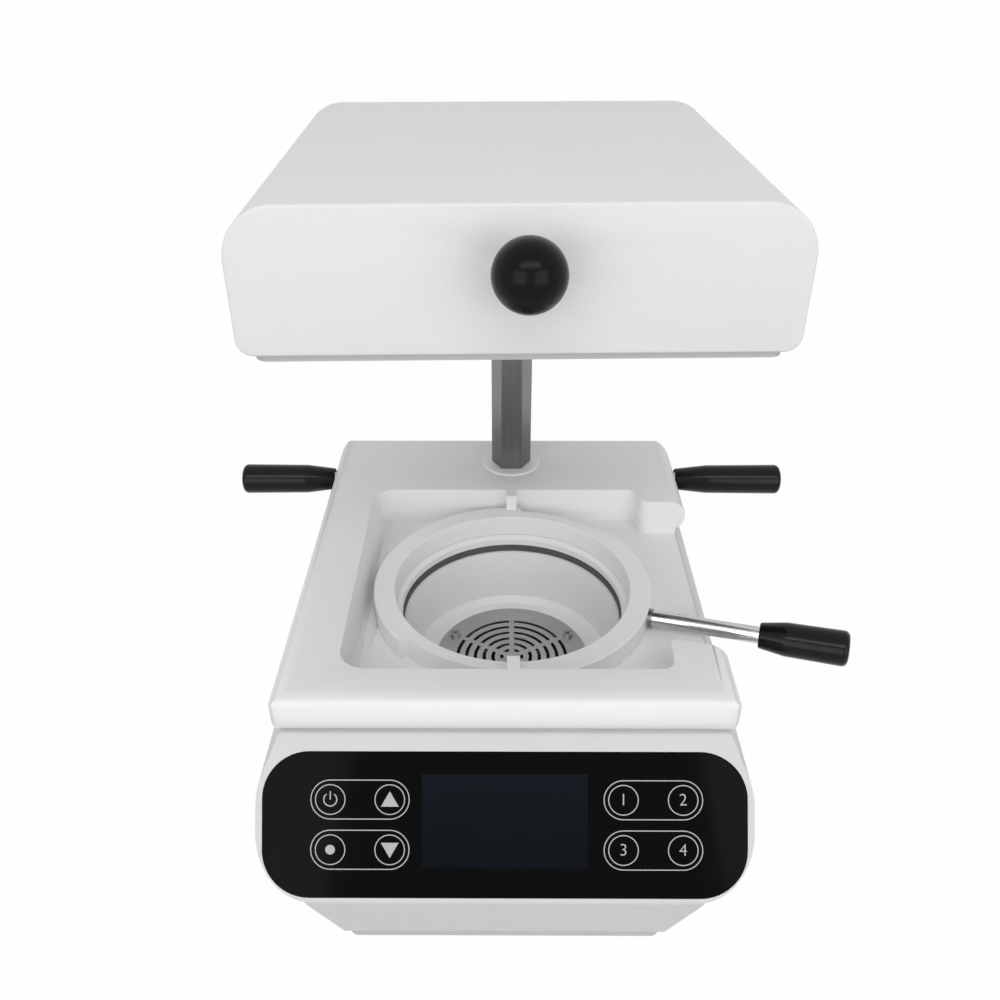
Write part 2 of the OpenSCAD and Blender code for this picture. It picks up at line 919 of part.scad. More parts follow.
module carriage_shell() {
    color("whitesmoke")
    translate([0, ring_y, 0])
    difference() {
        union() {
            difference() {
                union() {
                    lip_solid(0);
                    along_z(skirt_z, lip_low_z + 5)
                        skirt_plan(0);
                }
                difference() {
                    union() {
                        lip_solid(carriage_wall);
                        along_z(skirt_z - 1, lip_low_z + 5)
                            skirt_plan(carriage_wall);
                    }
                    recess_cut(carriage_wall);
                    translate([0, post_back, 0])
                        rod_z(post_bush_r + 3.5, skirt_z, deck_z);
                    for (side = [-1, 1])
                        translate([body_x + side * handle_boss_x, handle_back, handle_z])
                            rotate([0, side * 90, 0])
                                cylinder(r = 7, h = 22);
                    translate([0, post_back, handle_z])
                        rotate([-90, 0, 0])
                            cylinder(r = 6, h = 30);
                    carriage_screw_spots()
                        rod_z(3.5, skirt_z + 1.8, deck_z);
                }
                recess_cut(0);
            }
            hook_at(90, 69 - hook_reach + 1);
            hook_at(270, 70.5 - hook_reach + 1);
        }
        rod_z(seat_flange_r + 0.05, recess_z - 1.6, recess_z + 1);
        rod_z(seat_body_r + 0.1, skirt_z - 1, recess_z + 1);
        translate([0, post_back, 0])
            rod_z(post_bush_r + fit, skirt_z - 1, deck_z + 1);
        for (side = [-1, 1])
            translate([body_x + side * (handle_boss_x + 2), handle_back, handle_z])
                rotate([0, side * 90, 0])
                    cylinder(r = stud_d / 2 + fit, h = 30);
        translate([0, post_back, handle_z])
            rotate([-90, 0, 0])
                cylinder(r = 3 + fit, h = 40);
        carriage_screw_spots()
            rod_z(1.5, skirt_z, skirt_z + 12);
    }
}

module carriage_screw_spots() {
    for (x = [body_x - lip_w / 2 + 13.5, body_x + lip_w / 2 - 13.5])
        for (y = [lip_front_y + 19.5, lip_back_y - 14])
            translate([x, y, 0])
                children();
}

module carriage_plate() {
    color("gainsboro")
    at_ring()
        difference() {
            along_z(skirt_z, recess_z - carriage_wall)
                skirt_plan(carriage_wall + 0.2);
            rod_z(seat_body_r + 0.3, skirt_z - 1, recess_z);
            translate([0, post_back, 0])
                rod_z(post_bush_r + 3.8, skirt_z - 1, recess_z);
            carriage_screw_spots() {
                rod_z(1.8, skirt_z - 1, recess_z);
                rod_z(plate_head_d / 2 + touch, skirt_z - 1, skirt_z + plate_head_t + 0.1);
            }
        }
}

module carriage_screws() {
    color("silver")
    at_ring()
        carriage_screw_spots()
            translate([0, 0, skirt_z + plate_head_t + 0.1])
                rotate([180, 0, 0])
                    pan_screw(2.9, 9, plate_head_d, plate_head_t);
}

module film_seat() {
    color("white")
    at_ring()
        rotate_extrude($fn = 128)
            polygon([
                [seat_r, seat_low_z], [seat_body_r, seat_low_z], [seat_body_r, recess_z - 1.55],
                [seat_flange_r, recess_z - 1.55], [seat_flange_r, recess_z],
                [seat_r + 2.2, recess_z], [seat_r, recess_z - 1.6]
            ]);
}

module post_bush() {
    color("gainsboro")
    at_post()
        difference() {
            union() {
                rod_z(post_bush_r, post_bush_low, deck_z);
                rotate_extrude()
                    polygon([[0, deck_z], [16, deck_z], [15.7, deck_z + 0.6], [14.5, deck_z + 0.8],
                        [0, deck_z + 0.8]]);
            }
            hex_z(post_af + 0.2, post_bush_low - 1, deck_z + 3);
            translate([0, 0, handle_z])
                rotate([-90, 0, 0])
                    cylinder(r = 3 + fit, h = 30);
        }
}

module friction_pad() {
    color("tan")
    at_post()
        translate([0, post_af / 2 + 0.2, handle_z])
            rotate([-90, 0, 0])
                cylinder(r = 3, h = 8);
}

module pad_screw() {
    color("silver")
    at_post()
        translate([0, post_af / 2 + 8.2, handle_z])
            rotate([-90, 0, 0])
                difference() {
                    cylinder(r = 3, h = lip_back_y - post_back - post_af / 2 - 9.2);
                    translate([0, 0, 4])
                        cylinder(d = 3, h = 20, $fn = 6);
                }
}

// Grips: one turned outline serves the two side handles and the lever.
module grip(l, d, bore_d) {
    difference() {
        rotate_extrude()
            intersection() {
                round_poly(
                    [[0, 0], [d * 0.36, 0], [d * 0.48, l * 0.3], [d / 2, l], [0, l]],
                    [0, 0.8, 14, 2.6, 0]
                );
                square([d, l]);
            }
        rod_z(bore_d / 2, -1, l * 0.55);
    }
}

// Distance of a grip's root from the middle, and its length: side is -1 for the left, 1 for the right.
function grip_root(side) = lip_w / 2 + 0.3 + side * body_x;
function grip_l(side) = handle_tip_x - grip_root(side);

module handle_studs() {
    color("silver")
    translate([0, ring_y + handle_back, handle_z])
        for (side = [-1, 1])
            translate([body_x + side * (handle_boss_x + 2.5), 0, 0])
                rotate([0, side * 90, 0])
                    cylinder(r = stud_d / 2, h = lip_w / 2 - handle_boss_x - 2.2 + grip_l(side) * 0.5);
}

module left_grip() {
    color([0.06, 0.06, 0.06])
    translate([-grip_root(-1), ring_y + handle_back, handle_z])
        rotate([0, -90, 0])
            grip(grip_l(-1), grip_d, stud_d + 2 * fit);
}

module right_grip() {
    color([0.06, 0.06, 0.06])
    translate([grip_root(1), ring_y + handle_back, handle_z])
        rotate([0, 90, 0])
            grip(grip_l(1), grip_d, stud_d + 2 * fit);
}

// Clamp ring and lever

lever_z = ring_z + 5.2;
lever_rise = 3.6;
sleeve_l = 5;

module on_lever(out) {
    at_ring()
        rotate([0, 0, lever_angle])
            translate([ring_notch_r, 0, lever_z])
                rotate([0, 90 - lever_rise, 0])
                    translate([0, 0, out - ring_notch_r])
                        children();
}

// One notch: everything beyond the smaller radius, between two radial faces.
module notch_cut(a0) {
    reach = ring_r + 5;
    far = reach / cos(notch_angle / 2);
    difference() {
        rotate([0, 0, a0])
            along_z(ring_z - 1, ring_top + 1)
                polygon([
                    [0, 0], [far, 0], [far * cos(notch_angle / 2), far * sin(notch_angle / 2)],
                    [far * cos(notch_angle), far * sin(notch_angle)]
                ]);
        rod_z(ring_notch_r, ring_z - 2, ring_top + 2);
    }
}

module clamp_ring() {
    color("white")
    difference() {
        at_ring()
            difference() {
                rotate_extrude($fn = 128)
                    polygon([
                        [ring_bore_r - 0.6, ring_z], [ring_r, ring_z], [ring_r, ring_top - 0.5],
                        [ring_r - 0.5, ring_top], [ring_bore_r + 0.4, ring_top],
                        [ring_bore_r, ring_top - 0.4]
                    ]);
                notch_cut(notch_start);
                notch_cut(notch_start - 180);
                tube_z(gasket_mid_r + gasket_w / 2 + 0.1, gasket_mid_r - gasket_w / 2 - 0.1,
                    ring_z - 1, ring_z + 0.7);
            }
        on_lever(ring_r - 8.5)
            cylinder(d = rod_d + 2 * fit, h = 20);
    }
}

module ring_gasket() {
    color([0.2, 0.2, 0.2])
    at_ring()
        tube_z(gasket_mid_r + gasket_w / 2, gasket_mid_r - gasket_w / 2, ring_z - 0.1, ring_z + 0.65);
}

module lever_sleeve() {
    color("dimgray")
    on_lever(ring_r + 0.4)
        difference() {
            cylinder(d = rod_d + 1.2, h = 1.8);
            translate([0, 0, -1])
                cylinder(d = rod_d + 2 * fit, h = 6);
        }
}

module lever_rod() {
    color("silver")
    on_lever(ring_r - 8)
        cylinder(d = rod_d, h = lever_tip_r - ring_r + 8 - lever_grip_l * 0.5);
}

module lever_grip() {
    color([0.06, 0.06, 0.06])
    on_lever(lever_tip_r - lever_grip_l)
        grip(lever_grip_l, grip_d - 0.6, rod_d + 2 * fit);
}

// Heater head, turned with the post as its axis

module in_head() {
    translate([0, post_y, 0])
        rotate([0, 0, head_turn])
            translate([0, -post_y, 0])
                children();
}

head_outline = [
    [head_x - head_w / 2, head_z], [head_x + head_w / 2, head_z],
    [head_x + head_w / 2, head_top], [head_x - head_w / 2, head_top]
];
head_radii = [head_low_r, head_low_r, head_top_r, head_top_r];

module head_screw_spots() {
    for (x = [head_x - head_w / 2 + 19, head_x + head_w / 2 - 19])
        for (y = [head_front_y + 14, head_back_y - 14])
            translate([x, ring_y + y, 0])
                children();
}

module head_shell() {
    color("white")
    in_head()
        difference() {
            union() {
                difference() {
                    along_y(ring_y + head_front_y, ring_y + head_back_y)
                        round_inset(head_outline, head_radii, 0);
                    along_y(ring_y + head_front_y + head_wall, ring_y + head_back_y - head_wall)
                        round_inset(head_outline, head_radii, head_wall);
                    translate([head_x, ring_y + (head_front_y + head_back_y) / 2, 0])
                        along_z(head_z - 1, head_z + 6)
                            round_rect(head_w - 30, head_back_y - head_front_y - 8, 6);
                }
                head_screw_spots()
                    rod_z(5, head_z, head_z + 14);
                translate([0, ring_y + head_front_y, head_z + ball_up])
                    rotate([-90, 0, 0])
                        cylinder(r = 8, h = 7);
            }
            head_screw_spots()
                rod_z(1.5, head_z - 1, head_z + 12);
            translate([0, ring_y + head_front_y - 1, head_z + ball_up])
                rotate([-90, 0, 0])
                    cylinder(r = 4 + fit, h = 10);
        }
}

module head_plate() {
    color("gainsboro")
    in_head()
        difference() {
            translate([head_x, ring_y + (head_front_y + head_back_y) / 2, 0])
                along_z(head_plate_z, head_z)
                    round_rect(head_w - 2 * tray_in, head_back_y - head_front_y - 5, 5);
            at_ring()
                rod_z(heater_r, head_plate_z - 1, head_z + 1);
            at_post()
                rod_z(hub_r + 0.2, head_plate_z - 1, head_z + 1);
            head_screw_spots()
                rod_z(1.8, head_plate_z - 1, head_z + 1);
        }
}

module head_screws() {
    color("silver")
    in_head()
        head_screw_spots()
            translate([0, 0, head_plate_z])
                rotate([180, 0, 0])
                    pan_screw(2.9, 12, 5.6, 1.5);
}

module reflector() {
    color("silver")
    in_head()
        at_ring()
            difference() {
                rotate_extrude($fn = 96)
                    polygon([
                        [heater_r, head_z], [heater_r + 3.4, head_z], [heater_r + 3.4, head_z + 1],
                        [heater_r + 0.8, head_z + 1], [heater_r - 4, reflector_top],
                        [0, reflector_top], [0, reflector_top - 1], [heater_r - 4.8, reflector_top - 1]
                    ]);
                support_spots()
                    rod_z(2, reflector_top - 3, reflector_top + 1);
                terminal_spots()
                    rod_z(3, reflector_top - 3, reflector_top + 1);
            }
}

module support_spots() {
    for (a = [90, 210, 330])
        rotate([0, 0, a])
            translate([28, 0, 0])
                children();
}

module terminal_spots() {
    for (x = [-8, 8])
        translate([x, 0, 0])
            children();
}

// Three heating rings joined by two bars, with two cold ends that rise through the reflector.
module heater_element() {
    color("sienna")
    in_head()
        at_ring()
            union() {
                for (r = [16, 28, 40])
                    translate([0, 0, heater_z])
                        rotate_extrude($fn = 96)
                            translate([r, 0])
                                circle(r = 3.2, $fn = 32);
                for (a = [0, 180])
                    rotate([0, 0, a])
                        translate([8, 0, heater_z])
                            rotate([0, 90, 0])
                                cylinder(r = 2.2, h = 32);
                terminal_spots()
                    rod_z(2.2, heater_z - 2.1, shield_z + 14);
            }
}

module heater_supports() {
    color("ivory")
    in_head()
        at_ring()
            support_spots()
                union() {
                    rod_z(1.9, heater_z + 3.25, shield_z);
                    tube_z(3.4, 1, reflector_top, shield_z);
                    rod_z(3.4, heater_z + 3.25, heater_z + 5);
                }
}

module heat_shield() {
    color("silver")
    in_head()
        at_ring()
            difference() {
                rod_z(heater_r - 2, shield_z, shield_z + 1.5);
                terminal_spots()
                    rod_z(3, shield_z - 1, shield_z + 3);
            }
}

module terminal_block() {
    color("ivory")
    in_head()
        at_ring()
            difference() {
                translate([-15, -7, shield_z + 1.5])
                    cube([30, 14, 10]);
                terminal_spots()
                    rod_z(2.3, shield_z, shield_z + 20);
                for (x = [-12, 12])
                    translate([x, 0, 0])
                        rod_z(1.5, shield_z + 5, shield_z + 20);
            }
}

module head_hub() {
    color("darkgray")
    in_head()
        at_post()
            difference() {
                union() {
                    rod_z(hub_r, head_plate_z, hub_top);
                    along_z(head_z, head_z + 5)
                        round_rect(46, 40, 5);
                    for (a = [0, 90, 180, 270])
                        rotate([0, 0, a])
                            along_y(-1.5, 1.5)
                                polygon([[10, head_z + 4], [22, head_z + 4], [hub_r - 0.5, hub_top - 8],
                                    [10, hub_top - 8]]);
                }
                rod_z(bush_r + 0.02, head_plate_z - 1, hub_top + 1);
            }
}

module hub_bush() {
    color("goldenrod")
    in_head()
        at_post()
            tube_z(bush_r, spigot_d / 2 + 0.05, head_plate_z, hub_top);
}

module retaining_washer() {
    color("silver")
    at_post()
        tube_z(12, 4.2, spigot_top, spigot_top + 1.8);
}

module retaining_screw() {
    color("silver")
    at_post()
        difference() {
            union() {
                rod_z(4, spigot_top, spigot_top + 1.9);
                rod_z(6.5, spigot_top + 1.8, spigot_top + 6.5);
            }
            hex_z(5, spigot_top + 3.5, spigot_top + 8);
        }
}

module knob_stud() {
    color("silver")
    in_head()
        translate([0, ring_y + head_front_y, head_z + ball_up])
            rotate([90, 0, 0]) {
                rod_z(4, -7, 0.01);
                rod_z(6, 0, ball_out - ball_d / 2 + 2);
            }
}

module ball_knob() {
    color([0.03, 0.03, 0.03])
    in_head()
        translate([0, ring_y + head_front_y, head_z + ball_up])
            rotate([90, 0, 0])
                difference() {
                    translate([0, 0, ball_out])
                        sphere(d = ball_d, $fn = 64);
                    rod_z(6 + fit, 0, ball_out - ball_d / 2 + 2.1);
                }
}

base_shell();
base_floor();
floor_screws();
feet();
foot_screws();
front_glass();
display_module();
touch_board();
model_pot();
pot_seal();
grille_plate();
grille_screws();
motor_gasket();
fan_housing();
fan_impeller();
motor_can();
motor_mounts();
power_board();
power_inlet();
switch_frame();
power_rocker();
hex_post();
post_socket();
socket_screws();
thrust_washer();
carriage_shell();
carriage_plate();
carriage_screws();
film_seat();
post_bush();
friction_pad();
pad_screw();
handle_studs();
left_grip();
right_grip();
clamp_ring();
ring_gasket();
lever_sleeve();
lever_rod();
lever_grip();
head_shell();
head_plate();
head_screws();
reflector();
heater_element();
heater_supports();
heat_shield();
terminal_block();
head_hub();
hub_bush();
retaining_washer();
retaining_screw();
knob_stud();
ball_knob();
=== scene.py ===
import json
import math

import bmesh
import bpy
from mathutils import Matrix, Vector

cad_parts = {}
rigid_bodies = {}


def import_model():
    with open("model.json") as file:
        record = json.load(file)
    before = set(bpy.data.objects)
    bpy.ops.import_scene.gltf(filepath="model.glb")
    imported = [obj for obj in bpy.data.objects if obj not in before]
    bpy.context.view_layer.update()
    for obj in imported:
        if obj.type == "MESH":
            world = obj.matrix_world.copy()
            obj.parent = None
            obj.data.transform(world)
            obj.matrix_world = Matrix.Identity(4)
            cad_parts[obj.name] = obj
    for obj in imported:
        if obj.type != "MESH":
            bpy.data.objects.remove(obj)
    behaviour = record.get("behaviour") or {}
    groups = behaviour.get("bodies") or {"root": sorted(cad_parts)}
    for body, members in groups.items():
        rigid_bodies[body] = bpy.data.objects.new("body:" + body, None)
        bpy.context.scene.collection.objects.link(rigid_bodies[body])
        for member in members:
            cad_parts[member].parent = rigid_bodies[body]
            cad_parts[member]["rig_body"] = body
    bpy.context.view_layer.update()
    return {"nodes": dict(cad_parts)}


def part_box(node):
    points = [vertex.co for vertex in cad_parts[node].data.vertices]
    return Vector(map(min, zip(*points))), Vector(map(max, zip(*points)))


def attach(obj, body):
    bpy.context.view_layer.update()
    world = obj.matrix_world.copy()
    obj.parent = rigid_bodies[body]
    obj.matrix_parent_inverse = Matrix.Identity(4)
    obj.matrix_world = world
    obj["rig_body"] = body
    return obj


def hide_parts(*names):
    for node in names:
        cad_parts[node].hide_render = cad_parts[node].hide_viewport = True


bl_info = {
    "name": "Dental vacuum former",
    "version": (1, 0, 0),
    "blender": (4, 5, 0),
    "location": "3D View > Sidebar > Vacuum former",
    "description": "Dresses the CAD frame of a bench-top dental vacuum former",
    "category": "Object",
}

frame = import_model()
NODES = frame["nodes"]
MM = 0.001
# Thickness of a printed film on the glass
FILM = 0.00006


# Node helpers

def add(tree, kind, settings=None, inputs=None):
    """Adds one node, sets its properties, and fills or links its inputs."""
    n = tree.nodes.new(kind)
    for key, value in (settings or {}).items():
        setattr(n, key, value)
    for key, value in (inputs or {}).items():
        if isinstance(value, bpy.types.NodeSocket):
            tree.links.new(value, n.inputs[key])
        else:
            n.inputs[key].default_value = value
    return n


def linear(code, alpha=1.0):
    """An sRGB hex colour as linear values."""
    parts = [int(code[i:i + 2], 16) / 255 for i in (1, 3, 5)]
    parts = [c / 12.92 if c <= 0.04045 else ((c + 0.055) / 1.055) ** 2.4 for c in parts]
    return (*parts, alpha)


def per_mm(size):
    """Texture scale for a pattern whose cells are size millimetres across."""
    return 1000 / size


def start(name, roughness, metallic=0.0, **more):
    """A new material: its tree, its shader and its object coordinates."""
    m = bpy.data.materials.new(name)
    m.use_nodes = True
    tree = m.node_tree
    tree.nodes.clear()
    inputs = {"Roughness": roughness, "Metallic": metallic}
    inputs.update(more)
    shader = add(tree, "ShaderNodeBsdfPrincipled", inputs=inputs)
    add(tree, "ShaderNodeOutputMaterial", inputs={"Surface": shader.outputs[0]})
    where = add(tree, "ShaderNodeTexCoord").outputs["Object"]
    return m, tree, shader, where


def noise(tree, where, size, detail=2.0, stretch=None):
    """Noise with cells of size millimetres, drawn out along an axis if asked."""
    if stretch:
        where = add(tree, "ShaderNodeMapping", inputs={"Vector": where, "Scale": stretch}).outputs[0]
    return add(tree, "ShaderNodeTexNoise",
               inputs={"Vector": where, "Scale": per_mm(size), "Detail": detail}).outputs["Fac"]


def spread(tree, value, low, high):
    """Maps the middle of a noise on to low..high."""
    ends = {"From Min": 0.3, "From Max": 0.7, "To Min": low, "To Max": high}
    return add(tree, "ShaderNodeMapRange", inputs={"Value": value, **ends}).outputs[0]


def tint(tree, shader, value, dark, light):
    """Colours the shader between two hex colours by value."""
    mix = add(tree, "ShaderNodeMix", {"data_type": "RGBA"},
              {"Factor": value, "A": linear(dark), "B": linear(light)})
    tree.links.new(mix.outputs["Result"], shader.inputs["Base Color"])


def bump(tree, shader, height, depth, strength=1.0, under=None):
    """Bump of depth millimetres from a height value."""
    inputs = {"Height": height, "Distance": depth * MM, "Strength": strength}
    if under:
        inputs["Normal"] = under
    out = add(tree, "ShaderNodeBump", inputs=inputs).outputs[0]
    tree.links.new(out, shader.inputs["Normal"])
    return out


# Finishes

def moulded_abs(name, dark, light):
    """Injection-moulded ABS: an even colour, a soft sheen and a fine spark-eroded grain."""
    m, t, s, w = start(name, 0.42, **{"IOR": 1.53, "Specular IOR Level": 0.3})
    tint(t, s, noise(t, w, 45, 3), dark, light)
    t.links.new(spread(t, noise(t, w, 9), 0.38, 0.46), s.inputs["Roughness"])
    fine = bump(t, s, noise(t, w, 0.6), 0.012)
    bump(t, s, noise(t, w, 28, 1), 0.05, under=fine)
    return m


def carriage_white_abs():
    # The carriage's moulding: the brighter white of the two.
    return moulded_abs("carriage_white_abs", "#F2F2F1", "#F5F5F4")


def shaded_base_white_abs():
    # The base's moulding: the same white made slightly greyer, painted shade for the deck's overhang above
    # it and the table below.
    return moulded_abs("shaded_base_white_abs", "#D6D6D5", "#DBDBDA")


def textured_white_coat():
    # Powder coat on the head's shell: a fine pebbled grain of about a millimetre that catches side light.
    m, t, s, w = start("textured_white_coat", 0.5, IOR=1.5)
    tint(t, s, noise(t, w, 60, 3), "#E9E9E9", "#EDEDED")
    t.links.new(spread(t, noise(t, w, 6), 0.46, 0.56), s.inputs["Roughness"])
    grain = bump(t, s, noise(t, w, 1.3, 2), 0.13)
    bump(t, s, noise(t, w, 14, 1), 0.05, under=grain)
    return m


def polished_white_abs():
    # Polished ABS of the ring, seat and pot: smoother than the housings, with a clearer highlight.
    m, t, s, w = start("polished_white_abs", 0.36, IOR=1.53)
    tint(t, s, noise(t, w, 30, 2), "#F2F2F1", "#F5F5F4")
    t.links.new(spread(t, noise(t, w, 7), 0.34, 0.38), s.inputs["Roughness"])
    bump(t, s, noise(t, w, 5, 1), 0.006)
    return m


def back_printed_glass():
    # Glass printed black behind: deep black under a mirror-flat face with faint wiping marks.
    m, t, s, w = start("back_printed_glass", 0.06, **{"IOR": 1.52, "Specular IOR Level": 0.05})
    tint(t, s, noise(t, w, 40, 2), "#020303", "#040505")
    smear = noise(t, w, 16, 4, (1, 0.35, 0.35))
    t.links.new(spread(t, smear, 0.045, 0.11), s.inputs["Roughness"])
    bump(t, s, noise(t, w, 60, 1), 0.01)
    return m


def display_cell():
    # A switched-off liquid crystal cell behind the glass: blue black, with a painted reflection that
    # lightens it towards its upper left.
    m, t, s, w = start("display_cell", 0.08, **{"IOR": 1.5, "Specular IOR Level": 0.05})
    place = add(t, "ShaderNodeSeparateXYZ", inputs={"Vector": w})
    # Painted reflection: the cell's colour grows lighter with height, mixed with an uneven mottle.
    painted_reflection_ramp = add(t, "ShaderNodeMapRange",
                inputs={"Value": place.outputs["Z"], "From Min": 0.055, "From Max": 0.09})
    mottle_and_reflection = add(t, "ShaderNodeMath", {"operation": "MULTIPLY_ADD"},
                {0: noise(t, w, 35, 2), 1: 0.5, 2: painted_reflection_ramp.outputs[0]})
    share = add(t, "ShaderNodeMath", {"operation": "MULTIPLY"}, {0: mottle_and_reflection.outputs[0], 1: 0.7})
    tint(t, s, share.outputs[0], "#070B10", "#111920")
    t.links.new(spread(t, noise(t, w, 12, 3), 0.05, 0.1), s.inputs["Roughness"])
    return m


def printed_grey_ink():
    # Screen-printed key outlines: matt light grey with a slightly uneven ink film.
    m, t, s, w = start("printed_grey_ink", 0.55)
    tint(t, s, noise(t, w, 1.2, 2), "#A9ACAE", "#BFC1C3")
    bump(t, s, noise(t, w, 0.5), 0.004)
    return m


def drawn(name, dark, light, low, high, stretch, size=0.8, depth=0.006):
    """A metal with drawing or brushing lines along one axis."""
    m, t, s, w = start(name, low, 1.0)
    lines = noise(t, w, size, 3, stretch)
    tint(t, s, lines, dark, light)
    t.links.new(spread(t, lines, low, high), s.inputs["Roughness"])
    bump(t, s, lines, depth)
    return m


def drawn_stainless_dark_reflection():
    # Cold-drawn hexagon bar: long die lines up its length and a satin grey shine; its grey is darker than
    # the steel's own, a painted reflection of dark surroundings.
    return drawn("drawn_stainless_dark_reflection", "#6A6A69", "#908F8D", 0.28, 0.42, (1, 1, 0.012), 0.7)


def brushed_stainless():
    # Brushed stainless sheet of the grille: straight short scratches across its face.
    return drawn("brushed_stainless", "#A5A5A4", "#BDBDBC", 0.26, 0.38, (0.03, 1, 1), 0.5, 0.004)


def turned_chrome():
    # Hard chrome on a ground rod: near mirror with the finest grinding lines.
    m, t, s, w = start("turned_chrome", 0.1, 1.0)
    haze = noise(t, w, 2.5, 3)
    tint(t, s, haze, "#B4B4B5", "#CBCBCC")
    t.links.new(spread(t, haze, 0.07, 0.15), s.inputs["Roughness"])
    bump(t, s, noise(t, w, 0.4, 2), 0.002)
    return m


def zinc_plate():
    # Zinc-plated screws: a slightly blotched mid grey with small bright edges.
    m, t, s, w = start("zinc_plate", 0.3, 1.0)
    blotch = noise(t, w, 1.6, 3)
    tint(t, s, blotch, "#939496", "#B2B3B4")
    t.links.new(spread(t, blotch, 0.24, 0.38), s.inputs["Roughness"])
    bump(t, s, noise(t, w, 0.5), 0.004)
    return m


def spun_aluminium():
    # Spun sheet aluminium of the reflector and shield: faint rings from the spinning tool.
    m, t, s, w = start("spun_aluminium", 0.28, 1.0)
    middle = add(t, "ShaderNodeMapping", inputs={"Vector": w, "Location": (-0.00226, 0.00345, 0)})
    rings = add(t, "ShaderNodeTexWave", {"wave_type": "RINGS", "rings_direction": "Z"},
                {"Vector": middle.outputs[0], "Scale": per_mm(1.6) * math.pi / 10})
    tint(t, s, rings.outputs["Fac"], "#BFC0C2", "#CDCECF")
    t.links.new(spread(t, noise(t, w, 18), 0.27, 0.34), s.inputs["Roughness"])
    bump(t, s, rings.outputs["Fac"], 0.002)
    return m


def cast_aluminium():
    # Die-cast aluminium: a dull grain from the die and a satin shine.
    m, t, s, w = start("cast_aluminium", 0.42, 1.0)
    grain = noise(t, w, 0.9, 4)
    tint(t, s, grain, "#A9AAAC", "#C3C4C6")
    t.links.new(spread(t, grain, 0.36, 0.5), s.inputs["Roughness"])
    bump(t, s, grain, 0.02)
    return m


def grey_coated_sheet():
    # Grey painted steel sheet of the floor and under plates: flat with light orange peel.
    m, t, s, w = start("grey_coated_sheet", 0.45)
    tint(t, s, noise(t, w, 30, 2), "#BEBFC0", "#C8C9CA")
    t.links.new(spread(t, noise(t, w, 5), 0.4, 0.5), s.inputs["Roughness"])
    bump(t, s, noise(t, w, 2.2, 2), 0.02)
    return m


def lacquered_black_ball():
    # Phenolic ball knob: a deep black with one wide soft highlight and handling marks.
    m, t, s, w = start("lacquered_black_ball", 0.2, **{"IOR": 1.58, "Specular IOR Level": 0.1})
    tint(t, s, noise(t, w, 8, 3), "#060706", "#0A0B0A")
    t.links.new(spread(t, noise(t, w, 3, 4), 0.17, 0.25), s.inputs["Roughness"])
    bump(t, s, noise(t, w, 2.4, 2), 0.006)
    return m


def glossy_black_grip():
    # Moulded black phenolic grips: a low gloss that draws one thin line of light along them.
    m, t, s, w = start("glossy_black_grip", 0.16, **{"IOR": 1.53, "Specular IOR Level": 0.18})
    tint(t, s, noise(t, w, 12, 2), "#060706", "#0B0C0B")
    t.links.new(spread(t, noise(t, w, 2.5, 3), 0.13, 0.21), s.inputs["Roughness"])
    bump(t, s, noise(t, w, 3.5, 2), 0.006)
    return m


def matt_black_plastic():
    # Plain black plastic of the inlet and switch: matt and slightly dusty.
    m, t, s, w = start("matt_black_plastic", 0.5)
    tint(t, s, noise(t, w, 4, 3), "#191A1B", "#232425")
    bump(t, s, noise(t, w, 0.6), 0.012)
    return m


def cured_rubber(name, dark, light):
    """Moulded rubber: dead matt, with a dry powdery bloom in patches."""
    m, t, s, w = start(name, 0.75)
    tint(t, s, noise(t, w, 5, 4), dark, light)
    t.links.new(spread(t, noise(t, w, 3), 0.68, 0.85), s.inputs["Roughness"])
    bump(t, s, noise(t, w, 0.9, 2), 0.02)
    return m


def silicone_grey():
    # Grey silicone seals: a dull dark line between the white pieces.
    return cured_rubber("silicone_grey", "#4C4C4A", "#595957")


def black_rubber():
    # Black rubber feet and mounts: the darkest matt pieces.
    return cured_rubber("black_rubber", "#161616", "#222222")


def natural_nylon():
    # Natural nylon bushes: milky and waxy.
    m, t, s, w = start("natural_nylon", 0.4, IOR=1.53)
    tint(t, s, noise(t, w, 6, 2), "#DEDCD4", "#E7E5DE")
    bump(t, s, noise(t, w, 0.8), 0.01)
    return m


def sintered_bronze():
    # Sintered bronze bush: warm, open grained and oily.
    m, t, s, w = start("sintered_bronze", 0.4, 1.0)
    grain = noise(t, w, 0.4, 3)
    tint(t, s, grain, "#9C7B46", "#B8965C")
    bump(t, s, grain, 0.02)
    return m


def pressed_steatite():
    # Steatite insulators: dry cream ceramic with a pressed grain.
    m, t, s, w = start("pressed_steatite", 0.62)
    tint(t, s, noise(t, w, 1.5, 3), "#DDD5C2", "#E9E3D4")
    bump(t, s, noise(t, w, 0.4, 2), 0.02)
    return m


def scaled_heater_sheath():
    # Heater sheath after use: brown-grey oxide with lighter patches.
    m, t, s, w = start("scaled_heater_sheath", 0.5, 0.85)
    scale = noise(t, w, 3, 5)
    tint(t, s, scale, "#4A3F38", "#7A6C60")
    t.links.new(spread(t, scale, 0.42, 0.62), s.inputs["Roughness"])
    bump(t, s, noise(t, w, 0.8, 3), 0.03)
    return m


def green_board():
    # Glass-epoxy board under solder mask: glossy green with the weave just showing.
    m, t, s, w = start("green_board", 0.3, IOR=1.55)
    weave = add(t, "ShaderNodeTexChecker", inputs={"Vector": w, "Scale": per_mm(1.0)})
    tint(t, s, weave.outputs["Fac"], "#1F5A34", "#256339")
    bump(t, s, weave.outputs["Fac"], 0.005)
    return m


